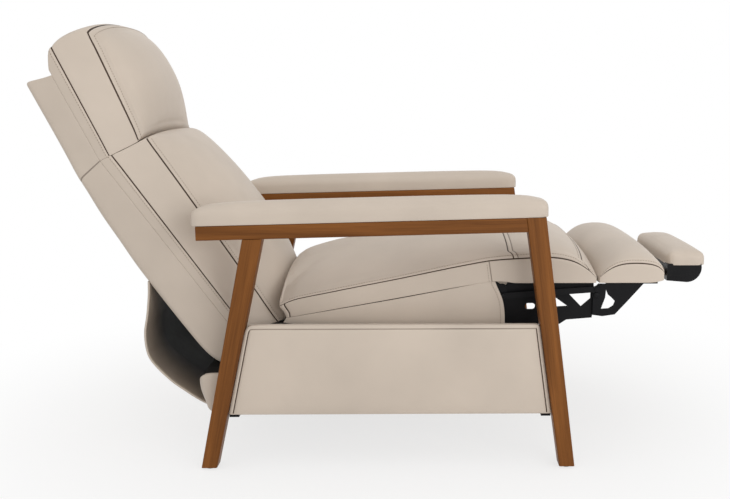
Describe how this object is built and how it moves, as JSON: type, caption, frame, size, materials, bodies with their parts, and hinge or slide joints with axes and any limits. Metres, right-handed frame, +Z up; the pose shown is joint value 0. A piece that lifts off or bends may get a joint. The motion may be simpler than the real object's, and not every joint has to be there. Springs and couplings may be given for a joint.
{
  "type": "recliner chair",
  "caption": "Reclining armchair with wooden arm frames, padded back and seat, and a leg rest that folds out on a steel linkage with a small hinged foot flap.",
  "frame": {"origin": "on the floor, under the middle of the chair's outline in the opened pose", "axes": "+X to the front of the chair, +Y to its left, +Z up"},
  "size_m": [1.579, 0.73, 1.0171],
  "materials": {
    "leather": "smooth cream leather with a low sheen",
    "walnut": "satin walnut-brown stain",
    "frame_wood": "bare plywood and softwood",
    "black_steel": "satin black coating",
    "plain_steel": "plain zinc finish",
    "black_plastic": "moulded black, slightly glossy",
    "glide_plastic": "dark moulded plastic",
    "strap_cloth": "woven elastic"
  },
  "bodies": {
    "base": {"right_front_leg": "walnut", "left_front_leg": "walnut", "right_rear_leg": "walnut", "left_rear_leg": "walnut", "right_arm_rail": "walnut", "left_arm_rail": "walnut", "right_arm_pad": "leather", "left_arm_pad": "leather", "right_side_panel": "leather", "left_side_panel": "leather", "right_base_plate": "black_steel", "left_base_plate": "black_steel", "floor_glides": "glide_plastic", "panel_tabs": "black_steel", "front_cross_rail": "frame_wood", "rear_rail": "leather", "mechanism_bolts": "plain_steel", "pivot_shaft": "black_steel", "rear_flap": "leather"},
    "back": {"back_shell": "leather", "right_back_stile": "frame_wood", "left_back_stile": "frame_wood", "back_rails": "frame_wood", "back_straps": "strap_cloth", "right_back_bracket": "black_steel", "left_back_bracket": "black_steel", "lumbar_cushion": "leather", "head_pillow": "leather"},
    "seat": {"seat_cushion": "leather", "right_seat_side": "leather", "left_seat_side": "leather", "right_seat_plate": "black_steel", "left_seat_plate": "black_steel", "seat_rear_tube": "black_steel", "seat_front_tube": "black_steel", "seat_springs": "plain_steel"},
    "lift_levers": {"right_lift_lever": "black_steel", "left_lift_lever": "black_steel"},
    "push_rods": {"right_push_rod": "black_steel", "left_push_rod": "black_steel"},
    "calf_rest": {"calf_cushion": "leather", "calf_board": "frame_wood", "right_calf_bracket": "black_steel", "left_calf_bracket": "black_steel"},
    "leg_rest": {"leg_cushion": "leather", "leg_board": "frame_wood", "right_leg_bracket": "black_steel", "left_leg_bracket": "black_steel"},
    "curl_links": {"right_curl_link": "black_steel", "left_curl_link": "black_steel"},
    "foot_flap": {"flap_cushion": "leather", "flap_tray": "black_plastic"}
  },
  "joints": [
    {"name": "back_recline", "type": "hinge", "parent": "base", "child": "back", "pos_m": [-0.243, 0, 0.31], "axis": [0, 1, 0], "range_deg": [0, 21], "deforming": ["rear_flap"]},
    {"name": "seat_tilt", "type": "hinge", "parent": "base", "child": "seat", "pos_m": [-0.243, 0, 0.31], "axis": [0, 1, 0], "range_deg": [0, 4]},
    {"name": "lever_swing", "type": "hinge", "parent": "base", "child": "lift_levers", "pos_m": [0.04, 0, 0.27], "axis": [0, 1, 0], "range_deg": [0, 21]},
    {"name": "rod_swing", "type": "hinge", "parent": "back", "child": "push_rods", "pos_m": [-0.243, 0, 0.25], "axis": [0, 1, 0], "range_deg": [-21, 0]},
    {"name": "leg_rest_fold", "type": "hinge", "parent": "seat", "child": "calf_rest", "pos_m": [0.275, 0, 0.404], "axis": [0, 1, 0], "range_deg": [0, 85]},
    {"name": "leg_pad_curl", "type": "hinge", "parent": "calf_rest", "child": "leg_rest", "pos_m": [0.497, 0, 0.388], "axis": [0, 1, 0], "range_deg": [0, 93.2]},
    {"name": "link_swing", "type": "hinge", "parent": "seat", "child": "curl_links", "pos_m": [0.275, 0, 0.388], "axis": [0, 1, 0], "range_deg": [0, 93.2]},
    {"name": "foot_flap_fold", "type": "hinge", "parent": "leg_rest", "child": "foot_flap", "pos_m": [0.667, 0, 0.406], "axis": [0, 1, 0], "range_deg": [0, 165]}
  ],
  "couplings": [
    {"joint": "seat_tilt", "follows": "back_recline", "ratio": 0.19048},
    {"joint": "lever_swing", "follows": "back_recline", "ratio": 1},
    {"joint": "rod_swing", "follows": "back_recline", "ratio": -1},
    {"joint": "leg_pad_curl", "follows": "leg_rest_fold", "ratio": 1.0954},
    {"joint": "link_swing", "follows": "leg_rest_fold", "ratio": 1.0954}
  ]
}
